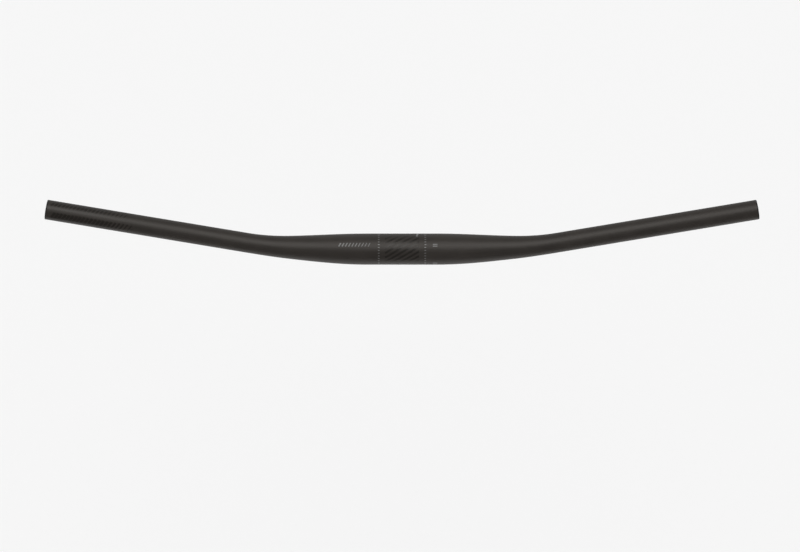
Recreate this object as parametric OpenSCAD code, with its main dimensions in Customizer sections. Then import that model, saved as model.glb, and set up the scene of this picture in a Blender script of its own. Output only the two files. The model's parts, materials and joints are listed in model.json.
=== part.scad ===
// Riser handlebar: one hollow moulded tube. A fat straight land in the middle goes in the stem clamp.
// Each side tapers to grip size while it bends first upward and then backward, and ends in a straight grip.
// X runs along the bar, +Y points back to the rider and +Z up. The origin is the middle of the clamp land.

/* [Overall] */
// Width of the bar over the outer edges of its two ends
bar_width = 800; // [700:5:840]

/* [Stem clamp] */
// Diameter of the straight land in the stem clamp
clamp_d = 35; // [31.8:0.1:36]
// Length of the straight land
clamp_land = 80; // [60:1:110]
// Wall of the tube at the land
clamp_wall = 2.6; // [2:0.1:4]

/* [Grips] */
// Diameter of the straight grips
grip_d = 22.2; // [20:0.1:24]
// Wall of the tube along the grips
grip_wall = 2.4; // [1.6:0.1:3.2]
// Chamfer on the outer edge of each open end
end_chamfer = 0.5; // [0.2:0.1:1]
// Chamfer on the inner edge of each open end
bore_chamfer = 0.4; // [0.2:0.1:0.8]

/* [Taper] */
// Length along X over which the land shrinks to grip size
taper_run = 133; // [90:1:160]

/* [Bends] */
// Upward angle of the grips
upsweep = 5; // [1:0.5:10]
// Backward angle of the grips
backsweep = 8; // [1:0.5:14]
// Length along X of the shallow upward bend, which starts at the land's edge
rise_run = 86; // [50:1:140]
// Length along X from the land's edge to the start of the backward bend
sweep_gap = 84; // [40:1:120]
// Length along X of the backward bend
sweep_run = 50; // [30:1:90]

/* [Smoothness] */
// Longest step between two sections of the bent taper
section_step = 6.5; // [4:0.5:15]
// Number of sides of each outer section
outer_sides = 48; // [24:4:64]
// Number of sides of each bore section
bore_sides = 32; // [20:4:48]

/* [Hidden] */

// How far a lofted section stays under the round surface that it runs into
seat_inset = 0.01;
// How far a loft runs on inside the straight piece at each of its ends
seat_depth = 3;
// How far the bore runs out past the open ends
cut_overrun = 2;

clamp_r = clamp_d / 2;
grip_r = grip_d / 2;
clamp_bore_r = clamp_r - clamp_wall;
grip_bore_r = grip_r - grip_wall;

land_edge = clamp_land / 2;
sweep_start = land_edge + sweep_gap;
grip_start = land_edge + max(taper_run, rise_run, sweep_gap + sweep_run);

// Offset sideways of a bend whose slope grows evenly along its run and then stays at the full angle
function bend_offset(x, start, run, angle) =
    let (into = min(max(x - start, 0), run))
    tan(angle) * (into * into / (2 * run) + max(x - start - run, 0));

function bend_slope(x, start, run, angle) =
    tan(angle) * min(max(x - start, 0), run) / run;

// Centre of the tube, and the way it points, at a distance x from the middle
function centre(x) = [
    x,
    bend_offset(x, sweep_start, sweep_run, backsweep),
    bend_offset(x, land_edge, rise_run, upsweep)
];

function unit(v) = v / norm(v);

function heading(x) = unit([
    1,
    bend_slope(x, sweep_start, sweep_run, backsweep),
    bend_slope(x, land_edge, rise_run, upsweep)
]);

// Share of the way from land size to grip size, with a soft start and a soft end
function taper_share(x) =
    let (t = min(max((x - land_edge) / taper_run, 0), 1))
    t * t * (3 - 2 * t);

function tapered(x, land_size, grip_size) = land_size + (grip_size - land_size) * taper_share(x);

// A round section of the tube, square to its centre line
function section(x, radius, sides) =
    let (
        along = heading(x),
        across = unit(cross([0, 0, 1], along)),
        over = cross(along, across)
    )
    [for (i = [0 : sides - 1])
        let (a = 360 * i / sides)
        centre(x) + radius * (cos(a) * across + sin(a) * over)];

// Stations from inside the land to inside the grip, no more than one section_step apart between the two
loft_sections = ceil((grip_start - land_edge) / section_step);
stations = concat(
    [land_edge - seat_depth],
    [for (i = [0 : loft_sections]) land_edge + (grip_start - land_edge) * i / loft_sections],
    [grip_start + seat_depth]
);

// Solid skin through the sections at all the stations
module loft(land_radius, grip_radius, sides) {
    points = [for (x = stations) each section(x, tapered(x, land_radius, grip_radius) - seat_inset, sides)];
    last = len(stations) - 1;
    skin = [for (k = [0 : last - 1], i = [0 : sides - 1])
        let (
            a = k * sides + i,
            b = k * sides + (i + 1) % sides
        )
        each [[a, a + sides, b], [b, a + sides, b + sides]]];
    start_cap = [for (i = [0 : sides - 1]) i];
    end_cap = [for (i = [sides - 1 : -1 : 0]) last * sides + i];
    polyhedron(points, concat([start_cap], skin, [end_cap]), convexity = 4);
}

// Straight grip, from the end of the last bend to the open end of the bar
grip_heading = heading(grip_start);
lean = sqrt(1 - pow(grip_heading[0], 2));
end_x = bar_width / 2 - (grip_r - end_chamfer) * lean;
grip_length = norm(centre(end_x) - centre(grip_start));

// Stands a shape that was drawn along +Z on the start of the grip, in line with it
module along_grip() {
    translate(centre(grip_start))
        rotate([0, acos(grip_heading[2]), atan2(grip_heading[1], grip_heading[0])])
            children();
}

module grip_outside() {
    along_grip()
        rotate_extrude($fn = outer_sides)
            polygon([
                [0, 0],
                [grip_r, 0],
                [grip_r, grip_length - end_chamfer],
                [grip_r - end_chamfer, grip_length],
                [0, grip_length]
            ]);
}

module grip_bore() {
    along_grip()
        rotate_extrude($fn = outer_sides)
            polygon([
                [0, 0],
                [grip_bore_r, 0],
                [grip_bore_r, grip_length - bore_chamfer],
                [grip_bore_r + bore_chamfer, grip_length],
                [grip_bore_r + bore_chamfer, grip_length + cut_overrun],
                [0, grip_length + cut_overrun]
            ]);
}

module land(radius) {
    rotate([0, 90, 0])
        cylinder(r = radius, h = clamp_land, center = true, $fn = outer_sides);
}

module both_sides() {
    children();
    mirror([1, 0, 0]) children();
}

module outside() {
    land(clamp_r);
    both_sides() {
        loft(clamp_r, grip_r, outer_sides);
        grip_outside();
    }
}

module hollow() {
    land(clamp_bore_r);
    both_sides() {
        loft(clamp_bore_r, grip_bore_r, bore_sides);
        grip_bore();
    }
}

module handlebar() {
    color([0.18, 0.17, 0.16])
        difference() {
            outside();
            hollow();
        }
}

handlebar();
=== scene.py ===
import json
from math import atan2, ceil, cos, hypot, radians, sin, tan

import bmesh
import bpy
from mathutils import Matrix, Vector


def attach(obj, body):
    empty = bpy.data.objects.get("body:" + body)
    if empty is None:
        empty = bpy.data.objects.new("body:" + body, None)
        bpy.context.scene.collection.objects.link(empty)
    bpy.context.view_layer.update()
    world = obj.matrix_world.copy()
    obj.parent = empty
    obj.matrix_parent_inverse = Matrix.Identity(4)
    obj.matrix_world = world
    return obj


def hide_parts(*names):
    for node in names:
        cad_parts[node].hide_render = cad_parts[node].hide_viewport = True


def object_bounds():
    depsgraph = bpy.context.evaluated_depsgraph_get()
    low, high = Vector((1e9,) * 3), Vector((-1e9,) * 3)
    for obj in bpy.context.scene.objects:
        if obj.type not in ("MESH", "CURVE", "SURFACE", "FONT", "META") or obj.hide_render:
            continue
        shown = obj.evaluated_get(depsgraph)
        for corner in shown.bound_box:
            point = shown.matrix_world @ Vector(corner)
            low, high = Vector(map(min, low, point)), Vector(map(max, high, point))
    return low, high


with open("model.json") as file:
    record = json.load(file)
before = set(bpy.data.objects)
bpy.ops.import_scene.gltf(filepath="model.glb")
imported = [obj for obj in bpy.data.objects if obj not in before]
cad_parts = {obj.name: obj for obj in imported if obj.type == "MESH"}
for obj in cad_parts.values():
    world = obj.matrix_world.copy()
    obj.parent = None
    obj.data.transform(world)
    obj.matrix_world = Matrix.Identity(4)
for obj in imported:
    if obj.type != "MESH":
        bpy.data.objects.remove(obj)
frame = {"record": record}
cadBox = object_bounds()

print("frame loaded")

mounts = {mount["name"]: mount for mount in frame["record"]["mounts"]}
clampSeat, gripSeat, endBore = (mounts[name] for name in ("stem_clamp", "grip_left", "bar_end_left"))
gripWay = Vector(gripSeat["axis"])
mmPerMetre = 1000

# The round seats come from the frame's mounts, and the bends between them are set here. Lengths in metres
tube = {
    "landHalf": clampSeat["dims"]["length_mm"] / mmPerMetre / 2,
    "landRadius": clampSeat["dims"]["r_mm"] / mmPerMetre,
    "gripRadius": gripSeat["dims"]["r_mm"] / mmPerMetre,
    "boreRadius": endBore["dims"]["r_mm"] / mmPerMetre,
    "landWall": 0.0026,
    "taperRun": 0.133,
    "riseRun": 0.086,
    "riseSlope": gripWay.z / gripWay.x,
    "sweepGap": 0.084,
    "sweepRun": 0.050,
    "sweepSlope": gripWay.y / gripWay.x,
    "endChamfer": 0.0005,
    "boreChamfer": 0.0004,
    # width of the band of painted shade along each end's edge, past the chamfer
    "edgeShadeBand": 0.0008,
    "inkDepth": 0.00003,  # the lacquer lies this far below the tops of the printed marks
    "sides": 128,
    "straightStep": 0.008,
    "bendStep": 0.002,
    "boreStep": 0.006,
    "sharpAngle": radians(25),
}
gripStart = tube["landHalf"] + max(tube["taperRun"], tube["riseRun"], tube["sweepGap"] + tube["sweepRun"])
endLean = hypot(gripWay.y, gripWay.z)
endX = cadBox[1].x - (tube["gripRadius"] - tube["endChamfer"]) * endLean


def bendOffset(side, start, run, slope):
    into = min(max(side - start, 0), run)
    return slope * (into * into / (2 * run) + max(side - start - run, 0))


def bendSlope(side, start, run, slope):
    return slope * min(max(side - start, 0), run) / run


# A place on the centre line: local X faces the front of the bar, local Y is up, and both are square to it
def barPlace(x):
    side = abs(x)
    turn = 1 if x > 0 else -1
    rise = tube["landHalf"], tube["riseRun"], tube["riseSlope"]
    sweep = tube["landHalf"] + tube["sweepGap"], tube["sweepRun"], tube["sweepSlope"]
    centre = Vector((x, bendOffset(side, *sweep), bendOffset(side, *rise)))
    along = Vector((1, turn * bendSlope(side, *sweep), turn * bendSlope(side, *rise))).normalized()
    front = along.cross(Vector((0, 0, 1))).normalized()
    up = front.cross(along)
    place = Matrix((front, up, -along)).transposed().to_4x4()
    place.translation = centre
    return place


# From land size to grip size with a soft start and a soft end
def tapered(x, landSize, gripSize):
    share = min(max((abs(x) - tube["landHalf"]) / tube["taperRun"], 0), 1)
    return landSize + (gripSize - landSize) * share * share * (3 - 2 * share)


def skinRadius(x):
    return tapered(x, tube["landRadius"], tube["gripRadius"]) - tube["inkDepth"]


def boreRadius(x):
    return tapered(x, tube["landRadius"] - tube["landWall"], tube["boreRadius"])


# Evenly spaced places from each stop to the next, no further apart than that stretch's step
def stations(stops, steps):
    found = []
    for start, stop, step in zip(stops, stops[1:], steps):
        count = ceil(abs(stop - start) / step)
        found += [start + (stop - start) * i / count for i in range(count)]
    return found + [stops[-1]]


# Shader helpers
def newMaterial(name):
    material = bpy.data.materials.new(name)
    material.use_nodes = True
    return material, material.node_tree, material.node_tree.nodes["Principled BSDF"]


def addNode(tree, kind, **values):
    node = tree.nodes.new(kind)
    for name, value in values.items():
        setattr(node, name, value)
    return node


def addMath(tree, operation, *values):
    node = addNode(tree, "ShaderNodeMath", operation=operation)
    for socket, value in zip(node.inputs, values):
        if isinstance(value, bpy.types.NodeSocket):
            tree.links.new(value, socket)
        else:
            socket.default_value = value
    return node.outputs["Value"]


def addRange(tree, source, made, given=(0, 1)):
    spread = addNode(tree, "ShaderNodeMapRange")
    spread.inputs["From Min"].default_value, spread.inputs["From Max"].default_value = given
    spread.inputs["To Min"].default_value, spread.inputs["To Max"].default_value = made
    tree.links.new(source, spread.inputs["Value"])
    return spread.outputs["Result"]


def addRamp(tree, source, finish):
    ramp = addNode(tree, "ShaderNodeValToRGB")
    stops = zip(ramp.color_ramp.elements, finish["span"], (finish["dark"], finish["light"]))
    for element, position, color in stops:
        element.position = position
        element.color = (*color, 1)
    tree.links.new(source, ramp.inputs["Fac"])
    return ramp.outputs["Color"]


def addBump(tree, source, distance):
    bump = addNode(tree, "ShaderNodeBump")
    bump.inputs["Distance"].default_value = distance
    tree.links.new(source, bump.inputs["Height"])
    return bump.outputs["Normal"]


def newGroup(name, inputs, outputs):
    group = bpy.data.node_groups.new(name, "ShaderNodeTree")
    for label in inputs:
        group.interface.new_socket(label, in_out="INPUT", socket_type="NodeSocketFloat")
    for label in outputs:
        group.interface.new_socket(label, in_out="OUTPUT", socket_type="NodeSocketFloat")
    return group, group.nodes.new("NodeGroupInput"), group.nodes.new("NodeGroupOutput")


grain = {"peelDetail": 3, "mottleDetail": 4, "streakDetail": 5}


# Fine orange peel of a sprayed or printed surface, with a broad mottling under it
def buildPeelGroup():
    group, given, made = newGroup("orangePeel", ("Peel Scale", "Mottle Scale"), ("Peel", "Mottle"))
    place = addNode(group, "ShaderNodeTexCoord")
    for label, detail in (("Peel", grain["peelDetail"]), ("Mottle", grain["mottleDetail"])):
        noise = addNode(group, "ShaderNodeTexNoise")
        noise.inputs["Detail"].default_value = detail
        group.links.new(place.outputs["Object"], noise.inputs["Vector"])
        group.links.new(given.outputs[label + " Scale"], noise.inputs["Scale"])
        group.links.new(noise.outputs["Fac"], made.inputs[label])
    return group


# Streaks of fibre that run along the tube: the pattern reads the tube's own lengthwise and crosswise places
def buildFibreGroup():
    group, given, made = newGroup("fibreStreaks", ("Length Scale", "Fineness"), ("Streaks",))
    place = addNode(group, "ShaderNodeAttribute", attribute_name="tubePlace")
    parts = addNode(group, "ShaderNodeSeparateXYZ")
    stretched = addNode(group, "ShaderNodeCombineXYZ")
    noise = addNode(group, "ShaderNodeTexNoise")
    noise.inputs["Scale"].default_value = 1
    noise.inputs["Detail"].default_value = grain["streakDetail"]
    group.links.new(place.outputs["Vector"], parts.inputs["Vector"])
    for label, scale in (("X", "Length Scale"), ("Y", "Fineness"), ("Z", "Fineness")):
        times = addMath(group, "MULTIPLY", parts.outputs[label], given.outputs[scale])
        group.links.new(times, stretched.inputs[label])
    group.links.new(stretched.outputs["Vector"], noise.inputs["Vector"])
    group.links.new(noise.outputs["Fac"], made.inputs["Streaks"])
    return group


orangePeel = buildPeelGroup()
fibreStreaks = buildFibreGroup()


def usePeel(tree, finish):
    node = addNode(tree, "ShaderNodeGroup", node_tree=orangePeel)
    node.inputs["Peel Scale"].default_value = finish["peelScale"]
    node.inputs["Mottle Scale"].default_value = finish["mottleScale"]
    return node.outputs["Peel"], node.outputs["Mottle"]


def useStreaks(tree, finish):
    node = addNode(tree, "ShaderNodeGroup", node_tree=fibreStreaks)
    node.inputs["Length Scale"].default_value = finish["streakScale"]
    node.inputs["Fineness"].default_value = finish["streakFineness"]
    return node.outputs["Streaks"]


# Colour, roughness and relief each follow a pattern of their own, which runs from 0 to 1
def applyFinish(tree, shader, finish, drift, gloss, relief):
    shader.inputs["Specular IOR Level"].default_value = finish["specular"]
    shader.inputs["Specular Tint"].default_value = (*finish["tint"], 1)
    tree.links.new(addRamp(tree, drift, finish), shader.inputs["Base Color"])
    tree.links.new(addRange(tree, gloss, finish["roughness"]), shader.inputs["Roughness"])
    tree.links.new(addBump(tree, relief, finish["relief"]), shader.inputs["Normal"])


# In each finish, span is the stretch of the pattern over which the colour goes from dark to light
lacquer = {
    "dark": (0.0205, 0.0171, 0.0145),
    "light": (0.0353, 0.0293, 0.0250),
    "span": (0.3, 0.7),
    "specular": 0.5,
    "tint": (1.0, 0.96, 0.92),
    "roughness": (0.46, 0.54),
    "relief": 0.000008,
    "peelScale": 1500,
    "mottleScale": 45,
    "streakScale": 18,
    "streakFineness": 70,
    "fibreShare": 0.6,  # how much of the colour's drift follows the fibres under the lacquer
}


def makeLacquer():
    material, tree, shader = newMaterial("satinLacquer")
    peel, mottle = usePeel(tree, lacquer)
    mixed = addNode(tree, "ShaderNodeMix", data_type="FLOAT")
    mixed.inputs["Factor"].default_value = lacquer["fibreShare"]
    tree.links.new(mottle, mixed.inputs["A"])
    tree.links.new(useStreaks(tree, lacquer), mixed.inputs["B"])
    applyFinish(tree, shader, lacquer, mixed.outputs["Result"], mottle, peel)
    return material


cutEnd = {
    "plies": 9,
    "dark": (0.006, 0.006, 0.006),
    "light": (0.062, 0.059, 0.056),
    "span": (0.1, 0.45),
    "specular": 0.5,
    "tint": (1.0, 1.0, 1.0),
    "roughness": (0.75, 0.5),
    "relief": 0.00001,
    "streakScale": 400,
    "streakFineness": 30,
    "jitter": 0.12,  # how far the rings wander, as a share of the wall
    "fold": 0.5,  # each ring gets lighter over half its width and darker over the other half
}


# Plies show as thin rings across the sawn wall
def makeCutEnd():
    material, tree, shader = newMaterial("sawnLaminate")
    depth = addNode(tree, "ShaderNodeAttribute", attribute_name="wallDepth")
    jitter = addMath(tree, "MULTIPLY", useStreaks(tree, cutEnd), cutEnd["jitter"])
    moved = addMath(tree, "ADD", depth.outputs["Fac"], jitter)
    rings = addMath(tree, "MULTIPLY", moved, cutEnd["plies"])
    wave = addMath(tree, "PINGPONG", rings, cutEnd["fold"])
    applyFinish(tree, shader, cutEnd, wave, wave, wave)
    return material


rawBore = {
    "dark": (0.008, 0.008, 0.008),
    "light": (0.020, 0.019, 0.018),
    "span": (0.35, 0.65),
    "specular": 0.5,
    "tint": (1.0, 1.0, 1.0),
    "roughness": (0.25, 0.45),
    "relief": 0.00008,
    "streakScale": 12,
    "streakFineness": 9,
}


# The bladder leaves the inner wall glossy, with soft wrinkles along it
def makeRawBore():
    material, tree, shader = newMaterial("mouldedBore")
    wrinkles = useStreaks(tree, rawBore)
    applyFinish(tree, shader, rawBore, wrinkles, wrinkles, wrinkles)
    return material


inkGrain = {"span": (0.3, 0.7), "peelScale": 2200, "mottleScale": 500}
glossInk = {
    **inkGrain,
    "dark": (0.0145, 0.0121, 0.0103),
    "light": (0.0172, 0.0144, 0.0123),
    "specular": 0.41,
    "tint": (1.0, 0.96, 0.92),
    "roughness": (0.32, 0.37),
    "relief": 0.000004,
}
# Near-black colour that paints the shade along each end's chamfer and edge
edgeShadeFilm = {
    **inkGrain,
    "dark": (0.0080, 0.0074, 0.0070),
    "light": (0.0110, 0.0103, 0.0098),
    "specular": 0.35,
    "tint": (1.0, 1.0, 1.0),
    "roughness": (0.40, 0.50),
    "relief": 0.000006,
}
paleInk = {
    **inkGrain,
    "dark": (0.116, 0.114, 0.111),
    "light": (0.148, 0.146, 0.142),
    "specular": 0.9,
    "tint": (1.0, 1.0, 1.0),
    "roughness": (0.30, 0.36),
    "relief": 0.000003,
}
dullInk = {
    **inkGrain,
    "dark": (0.118, 0.116, 0.113),
    "light": (0.150, 0.148, 0.144),
    "specular": 0.5,
    "tint": (1.0, 1.0, 1.0),
    "roughness": (0.34, 0.40),
    "relief": 0.000003,
}


def makeInk(name, film):
    material, tree, shader = newMaterial(name)
    peel, mottle = usePeel(tree, film)
    applyFinish(tree, shader, film, mottle, mottle, peel)
    return material


satinLacquer = makeLacquer()
sawnLaminate = makeCutEnd()
mouldedBore = makeRawBore()
glossBlack = makeInk("glossBlackInk", glossInk)
paleGrey = makeInk("paleGreyInk", paleInk)
dullGrey = makeInk("dullGreyInk", dullInk)
# the finish that paints the shade at the bar's ends
edgeShadeMaterial = makeInk("paintedEdgeShade", edgeShadeFilm)
print("materials made")


# Object helpers
def addObject(name, data):
    made = bpy.data.objects.new(name, data)
    bpy.context.scene.collection.objects.link(made)
    return made


def meshObject(bm, name, materials):
    mesh = bpy.data.meshes.new(name)
    bm.to_mesh(mesh)
    bm.free()
    for material in materials:
        mesh.materials.append(material)
    return addObject(name, mesh)


def finishPiece(bm, name, materials, sharpAngle):
    bm.normal_update()  # the points have moved since the faces were made
    bmesh.ops.recalc_face_normals(bm, faces=bm.faces)
    for face in bm.faces:
        face.smooth = True
    for edge in bm.edges:
        edge.smooth = edge.calc_face_angle(0) < sharpAngle
    piece = meshObject(bm, name, materials)
    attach(piece, "root")
    return piece


def ringPlace(x, radius):
    return barPlace(x) @ Matrix.Scale(radius, 4)


# One ring is drawn at the inner edge of an end and run out, along the skin, in and back through the bore.
# A ring is its place along the bar, its radius, its depth in the wall and the finish of the band up to it
def runRings(bm, rings):
    tubePlace = bm.verts.layers.float_vector.new("tubePlace")
    wallDepth = bm.verts.layers.float.new("wallDepth")

    def mark(verts, x, depth):
        for vert in verts:
            vert[tubePlace] = (x, vert[tubePlace].y, vert[tubePlace].z)
            vert[wallDepth] = depth

    x, radius, depth, closingFinish = rings[0]
    place = ringPlace(x, radius)
    verts = bmesh.ops.create_circle(bm, segments=tube["sides"], radius=1, matrix=place)["verts"]
    for vert in verts:
        spot = place.inverted() @ vert.co
        vert[tubePlace] = (x, spot.x, spot.y)
    mark(verts, x, depth)
    firstEdges = list({edge for vert in verts for edge in vert.link_edges})
    edges = firstEdges
    for x, radius, depth, finish in rings[1:]:
        made = bmesh.ops.extrude_edge_only(bm, edges=edges)["geom"]
        verts = {part for part in made if isinstance(part, bmesh.types.BMVert)}
        madeEdges = [part for part in made if isinstance(part, bmesh.types.BMEdge)]
        edges = [edge for edge in madeEdges if verts.issuperset(edge.verts)]
        for face in {face for edge in edges for face in edge.link_faces}:
            face.material_index = finish
        nextPlace = ringPlace(x, radius)
        bmesh.ops.transform(bm, matrix=nextPlace @ place.inverted(), verts=list(verts))
        mark(verts, x, depth)
        place = nextPlace
    for face in bmesh.ops.bridge_loops(bm, edges=firstEdges + edges)["faces"]:
        face.material_index = closingFinish


# Each end has a sawn face, and painted shade on its chamfer and on a narrow band of the skin: a near-black
# finish where the end's edge falls into shade
def makeBar():
    skin, sawn, bore, shaded = 0, 1, 2, 3
    faceOut, faceIn = tube["gripRadius"] - tube["endChamfer"], tube["boreRadius"] + tube["boreChamfer"]
    skinEnd = endX - tube["endChamfer"] * gripWay.x
    # the painted shade reaches this far in from each end
    shadeBandEnd = skinEnd - tube["edgeShadeBand"]
    boreEnd = endX - tube["boreChamfer"] * gripWay.x
    stops = [gripStart, tube["landHalf"], -tube["landHalf"], -gripStart]
    straightStep, bendStep = tube["straightStep"], tube["bendStep"]
    outSteps = [straightStep, bendStep, straightStep, bendStep, straightStep]
    outer = [-skinEnd, *stations([shadeBandEnd, *stops, -shadeBandEnd], outSteps)[::-1], skinEnd]
    inner = stations([boreEnd, *stops, -boreEnd], [tube["boreStep"]] * len(outSteps))
    rings = [(-endX, faceIn, 1, sawn), (-endX, faceOut, 0, sawn)]
    rings += [(x, skinRadius(x), 0, skin if -shadeBandEnd < x <= shadeBandEnd else shaded) for x in outer]
    rings += [(endX, faceOut, 0, shaded), (endX, faceIn, 1, sawn)]
    rings += [(x, boreRadius(x), 1, sawn if x == inner[0] else bore) for x in inner]
    bm = bmesh.new()
    runRings(bm, rings)
    finishes = satinLacquer, sawnLaminate, mouldedBore, edgeShadeMaterial
    bar = finishPiece(bm, "handlebar_tube", finishes, tube["sharpAngle"])
    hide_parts("handlebar")


makeBar()
print("bar made")

# Printed marks. They are drawn flat, X along the bar and Y round it, and are then rolled onto the tube.
# Places round the bar are degrees down from the line that faces the photo's camera, which looks at the bar
# from the front and above, square to the plane of both grips
photoElevation = atan2(gripWay.y, gripWay.z)
ink = {
    "sunk": 0.0001,  # a mark reaches this far into the lacquer
    "cornerRadius": 0.0003,
    "cornerSegments": 3,
    "step": radians(3),
    "nearCut": 0.00002,  # a point this close to a cut counts as on it, so that no sliver is left
    "sharpAngle": radians(40),
}


# One stroke: a thin slab of ink, lengthways along X before it is turned by its slant
def drawStroke(bm, x, arc, length, width, slant=0):
    size = Matrix.Diagonal((length, width, tube["inkDepth"] + ink["sunk"], 1))
    place = Matrix.Translation((x, arc, 0)) @ Matrix.Rotation(slant, 4, "Z")
    bmesh.ops.create_cube(bm, size=1, matrix=place @ size)


# Corners are rounded, the slabs are cut across so that they can bend, and their tops come level with the CAD
def rollOn(bm, radius):
    upright = [edge for edge in bm.edges if abs(edge.verts[0].co.z - edge.verts[1].co.z) > ink["sunk"] / 2]
    bmesh.ops.bevel(bm, geom=upright, offset=ink["cornerRadius"], offset_type="OFFSET", affect="EDGES",
                    segments=ink["cornerSegments"], profile=0.5, material=-1)
    low, high = (pick(vert.co.y for vert in bm.verts) for pick in (min, max))
    step = ink["step"] * radius
    for i in range(1, ceil((high - low) / step)):
        parts = bm.verts[:] + bm.edges[:] + bm.faces[:]
        bmesh.ops.bisect_plane(bm, geom=parts, dist=ink["nearCut"], plane_co=(0, low + i * step, 0),
                               plane_no=(0, 1, 0))
    for vert in bm.verts:
        x, arc, lift = vert.co
        reach = skinRadius(x) + lift + (tube["inkDepth"] - ink["sunk"]) / 2
        angle = photoElevation - arc / radius
        vert.co = barPlace(x) @ Vector((reach * cos(angle), reach * sin(angle), 0))


def finishMarks(bm, name, material, radius):
    rollOn(bm, radius)
    finishPiece(bm, name, (material,), ink["sharpAngle"])


dashRings = {"x": 0.026, "count": 34, "first": radians(-16.3), "along": 0.0019, "around": 0.0008}


def makeDashRings():
    bm = bmesh.new()
    for side in (-1, 1):
        for i in range(dashRings["count"]):
            arc = (dashRings["first"] + radians(360 * i / dashRings["count"])) * tube["landRadius"]
            drawStroke(bm, side * dashRings["x"], arc, dashRings["along"], dashRings["around"])
    finishMarks(bm, "scale_dashes", paleGrey, tube["landRadius"])


# Diagonal stripes round the clamp land, cut off square at the borders of their patch
clampHatch = {
    "halfWidth": 0.019,
    "top": radians(-58),
    "bottom": radians(252),
    "slant": radians(-32.5),
    "pitch": 0.0087,
    "phase": 0.0058,
    "stripeWidth": 0.0022,
    "stripeLength": 0.057,  # uncut, longer than the way across the patch
}


def makeClampHatch():
    bm = bmesh.new()
    hatch = clampHatch
    half = hatch["halfWidth"]
    run = 1 / tan(-hatch["slant"])
    top, bottom = hatch["top"] * tube["landRadius"], hatch["bottom"] * tube["landRadius"]
    first = ceil((-half + top * run - hatch["phase"]) / hatch["pitch"])
    last = ceil((half + bottom * run - hatch["phase"]) / hatch["pitch"])
    for i in range(first, last):
        arc = (hatch["phase"] + i * hatch["pitch"]) / run
        drawStroke(bm, 0, arc, hatch["stripeLength"], hatch["stripeWidth"], hatch["slant"])
    borders = (((0, top, 0), (0, -1, 0)), ((0, bottom, 0), (0, 1, 0)),
               ((half, 0, 0), (1, 0, 0)), ((-half, 0, 0), (-1, 0, 0)))
    for point, outward in borders:
        parts = bm.verts[:] + bm.edges[:] + bm.faces[:]
        bmesh.ops.bisect_plane(bm, geom=parts, dist=ink["nearCut"], plane_co=point, plane_no=outward,
                               clear_outer=True)
        bmesh.ops.holes_fill(bm, edges=[edge for edge in bm.edges if edge.is_boundary])
    finishMarks(bm, "clamp_hatch", glossBlack, tube["landRadius"])


# Rows of steep strokes on one grip, wide at the open end and thin where they run out
gripHatch = {
    "firstRow": radians(-35),
    "strokeLength": 0.0118,
    "slant": radians(-61),
    "pitch": 0.0041,
    "growth": 0.003,  # each stroke adds this share to the pitch
    "endGap": 0.0064,
    "stagger": 0.0018,  # every other row starts this much further in
    "reaches": (0.089, 0.097, 0.074, 0.082, 0.092),
    "fullWidths": (0.0024, 0.0029, 0.0026, 0.0028, 0.0025),
    "lastWidth": 0.0011,
    "fade": 0.032,
}


def makeGripHatch():
    bm = bmesh.new()
    hatch = gripHatch
    rows = len(hatch["reaches"])
    for row, reach, fullWidth in zip(range(rows), hatch["reaches"], hatch["fullWidths"]):
        arc = (hatch["firstRow"] + radians(360 * row / rows)) * tube["gripRadius"]
        start = hatch["endGap"] + row % 2 * hatch["stagger"]
        inboard = start
        i = 0
        while inboard < reach:
            share = min((reach - inboard) / hatch["fade"], 1)
            width = hatch["lastWidth"] + (fullWidth - hatch["lastWidth"]) * share
            drawStroke(bm, -endX + inboard * gripWay.x, arc, hatch["strokeLength"], width, hatch["slant"])
            i += 1
            inboard = start + hatch["pitch"] * i * (1 + hatch["growth"] * i)
    finishMarks(bm, "grip_hatch", glossBlack, tube["gripRadius"])


centreTick = {"x": 0.017, "down": radians(-65), "length": 0.0078, "width": 0.0019, "slant": radians(-80)}


def makeCentreTick():
    bm = bmesh.new()
    tick = centreTick
    arc = tick["down"] * tube["landRadius"]
    drawStroke(bm, tick["x"], arc, tick["length"], tick["width"], tick["slant"])
    finishMarks(bm, "centre_tick", paleGrey, tube["landRadius"])


# A plain row of slanted bars that get thinner towards the clamp
sideBars = {
    "start": -0.0700,
    "down": radians(-16),
    "count": 10,
    "pitch": 0.0037,
    "length": 0.0049,
    "widths": (0.0015, 0.0007),
    "slant": radians(-62),
}


def makeSideBars():
    bm = bmesh.new()
    bars = sideBars
    first, last = bars["widths"]
    for i in range(bars["count"]):
        width = first + (last - first) * i / (bars["count"] - 1)
        x = bars["start"] + i * bars["pitch"]
        drawStroke(bm, x, bars["down"] * tube["landRadius"], bars["length"], width, bars["slant"])
    finishMarks(bm, "side_bars", dullGrey, tube["landRadius"])


sidePips = {
    "x": 0.037,
    "downs": (radians(-14), radians(66)),
    "length": 0.0052,
    "width": 0.0011,
    "gap": 0.0021,
}


def makeSidePips():
    bm = bmesh.new()
    pips = sidePips
    for down in pips["downs"]:
        for step in (-0.5, 0.5):
            arc = down * tube["landRadius"] + step * pips["gap"]
            drawStroke(bm, pips["x"], arc, pips["length"], pips["width"])
    finishMarks(bm, "side_pips", dullGrey, tube["landRadius"])


makeDashRings()
makeClampHatch()
makeGripHatch()
makeCentreTick()
makeSideBars()
makeSidePips()
print("printed marks made")

# The photo's camera. Its frame and the place of the bar's centre are in pixels, its sensor in millimetres
view = {
    "frame": (800, 552),
    "barCentre": (402.0, 249.1),
    "pixelsPerMetre": 892.5,
    "distance": 5.2,
    "sensor": 36,
}


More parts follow.
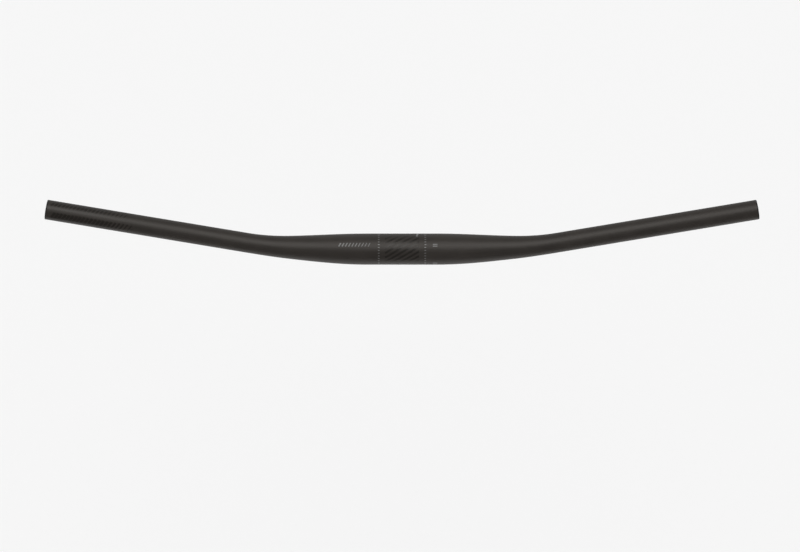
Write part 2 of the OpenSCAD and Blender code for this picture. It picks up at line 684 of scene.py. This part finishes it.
def makeCamera():
    back = Vector((0, -cos(photoElevation), sin(photoElevation)))
    up = Vector((0, sin(photoElevation), cos(photoElevation)))
    middle = [size / 2 for size in view["frame"]]
    aim = Vector(((middle[0] - view["barCentre"][0]) / view["pixelsPerMetre"], 0, 0))
    aim -= up * (middle[1] - view["barCentre"][1]) / view["pixelsPerMetre"]
    data = bpy.data.cameras.new("photoCamera")
    data.sensor_width = view["sensor"]
    data.lens = view["sensor"] * view["pixelsPerMetre"] * view["distance"] / view["frame"][0]
    camera = addObject("photoCamera", data)
    camera.location = aim + back * view["distance"]
    camera.rotation_euler = back.to_track_quat("Z", "Y").to_euler()
    bpy.context.scene.camera = camera


# A broad soft lamp overhead, and near walls that show only in reflections: dark, with a glow behind the bar
# that gets stronger towards the floor
studio = {
    "floorDrop": 0.95,
    "floorRadius": 14,
    "floorColor": (0.93, 0.93, 0.93),
    "backdrop": 0.93,
    "ambient": 0.745,
    "lampStrength": 0.80,
    "lampAngle": radians(42),
    "lampLean": radians(6),
    "wallRadius": 1.3,
    "wallTop": 2.6,
    "glowWay": (0, 1, -0.7),
    "glowRange": (0.2, 1.2),
    "wallGlow": (0.05, 0.6),
    "sides": 64,
}


# The floor is clear when it is looked at from below, so that the bar's underside can be seen
def makePaleFloor():
    material, tree, shader = newMaterial("paleFloor")
    shader.inputs["Base Color"].default_value = (*studio["floorColor"], 1)
    shader.inputs["Roughness"].default_value = 1
    shader.inputs["Specular IOR Level"].default_value = 0
    below = addNode(tree, "ShaderNodeNewGeometry")
    clear = addNode(tree, "ShaderNodeBsdfTransparent")
    either = addNode(tree, "ShaderNodeMixShader")
    tree.links.new(below.outputs["Backfacing"], either.inputs["Fac"])
    tree.links.new(shader.outputs["BSDF"], either.inputs[1])
    tree.links.new(clear.outputs["BSDF"], either.inputs[2])
    tree.links.new(either.outputs["Shader"], tree.nodes["Material Output"].inputs["Surface"])
    return material


def makeFloor():
    bm = bmesh.new()
    place = Matrix.Translation((0, 0, -studio["floorDrop"]))
    bmesh.ops.create_circle(bm, cap_ends=True, segments=studio["sides"], radius=studio["floorRadius"],
                            matrix=place)
    floor = meshObject(bm, "floor", (makePaleFloor(),))


def makeWallGlow():
    material, tree, shader = newMaterial("studioWalls")
    shader.inputs["Base Color"].default_value = (0, 0, 0, 1)
    shader.inputs["Specular IOR Level"].default_value = 0
    shader.inputs["Emission Color"].default_value = (1, 1, 1, 1)
    place = addNode(tree, "ShaderNodeTexCoord")
    toward = addNode(tree, "ShaderNodeVectorMath", operation="DOT_PRODUCT")
    toward.inputs[1].default_value = studio["glowWay"]
    tree.links.new(place.outputs["Object"], toward.inputs[0])
    glow = addRange(tree, toward.outputs["Value"], studio["wallGlow"], studio["glowRange"])
    tree.links.new(glow, shader.inputs["Emission Strength"])
    return material


def makeWalls():
    bm = bmesh.new()
    low, high = -studio["floorDrop"], studio["wallTop"]
    middle = Matrix.Translation((0, 0, (high + low) / 2))
    bmesh.ops.create_cone(bm, cap_ends=False, segments=studio["sides"], radius1=studio["wallRadius"],
                          radius2=studio["wallRadius"], depth=high - low, matrix=middle)
    walls = meshObject(bm, "studio_walls", (makeWallGlow(),))
    walls.visible_camera = walls.visible_diffuse = walls.visible_shadow = walls.visible_transmission = False


def makeLamp():
    data = bpy.data.lights.new("overheadLamp", "SUN")
    data.energy = studio["lampStrength"]
    data.angle = studio["lampAngle"]
    addObject("overheadLamp", data).rotation_euler = (studio["lampLean"], 0, 0)


# The world is the backdrop to the camera and to reflections, and the fill light to all the rest
def makeWorld():
    world = bpy.data.worlds.new("studio")
    bpy.context.scene.world = world
    world.use_nodes = True
    tree = world.node_tree
    path = addNode(tree, "ShaderNodeLightPath")
    seen = path.outputs["Is Camera Ray"]
    for label in ("Is Glossy Ray", "Is Transmission Ray"):
        seen = addMath(tree, "MAXIMUM", seen, path.outputs[label])
    color = addRange(tree, seen, (studio["ambient"], studio["backdrop"]))
    tree.links.new(color, tree.nodes["Background"].inputs["Color"])


makeCamera()
makeFloor()
makeWalls()
makeLamp()
makeWorld()
bpy.context.scene.view_settings.view_transform = "Standard"
print("studio made")
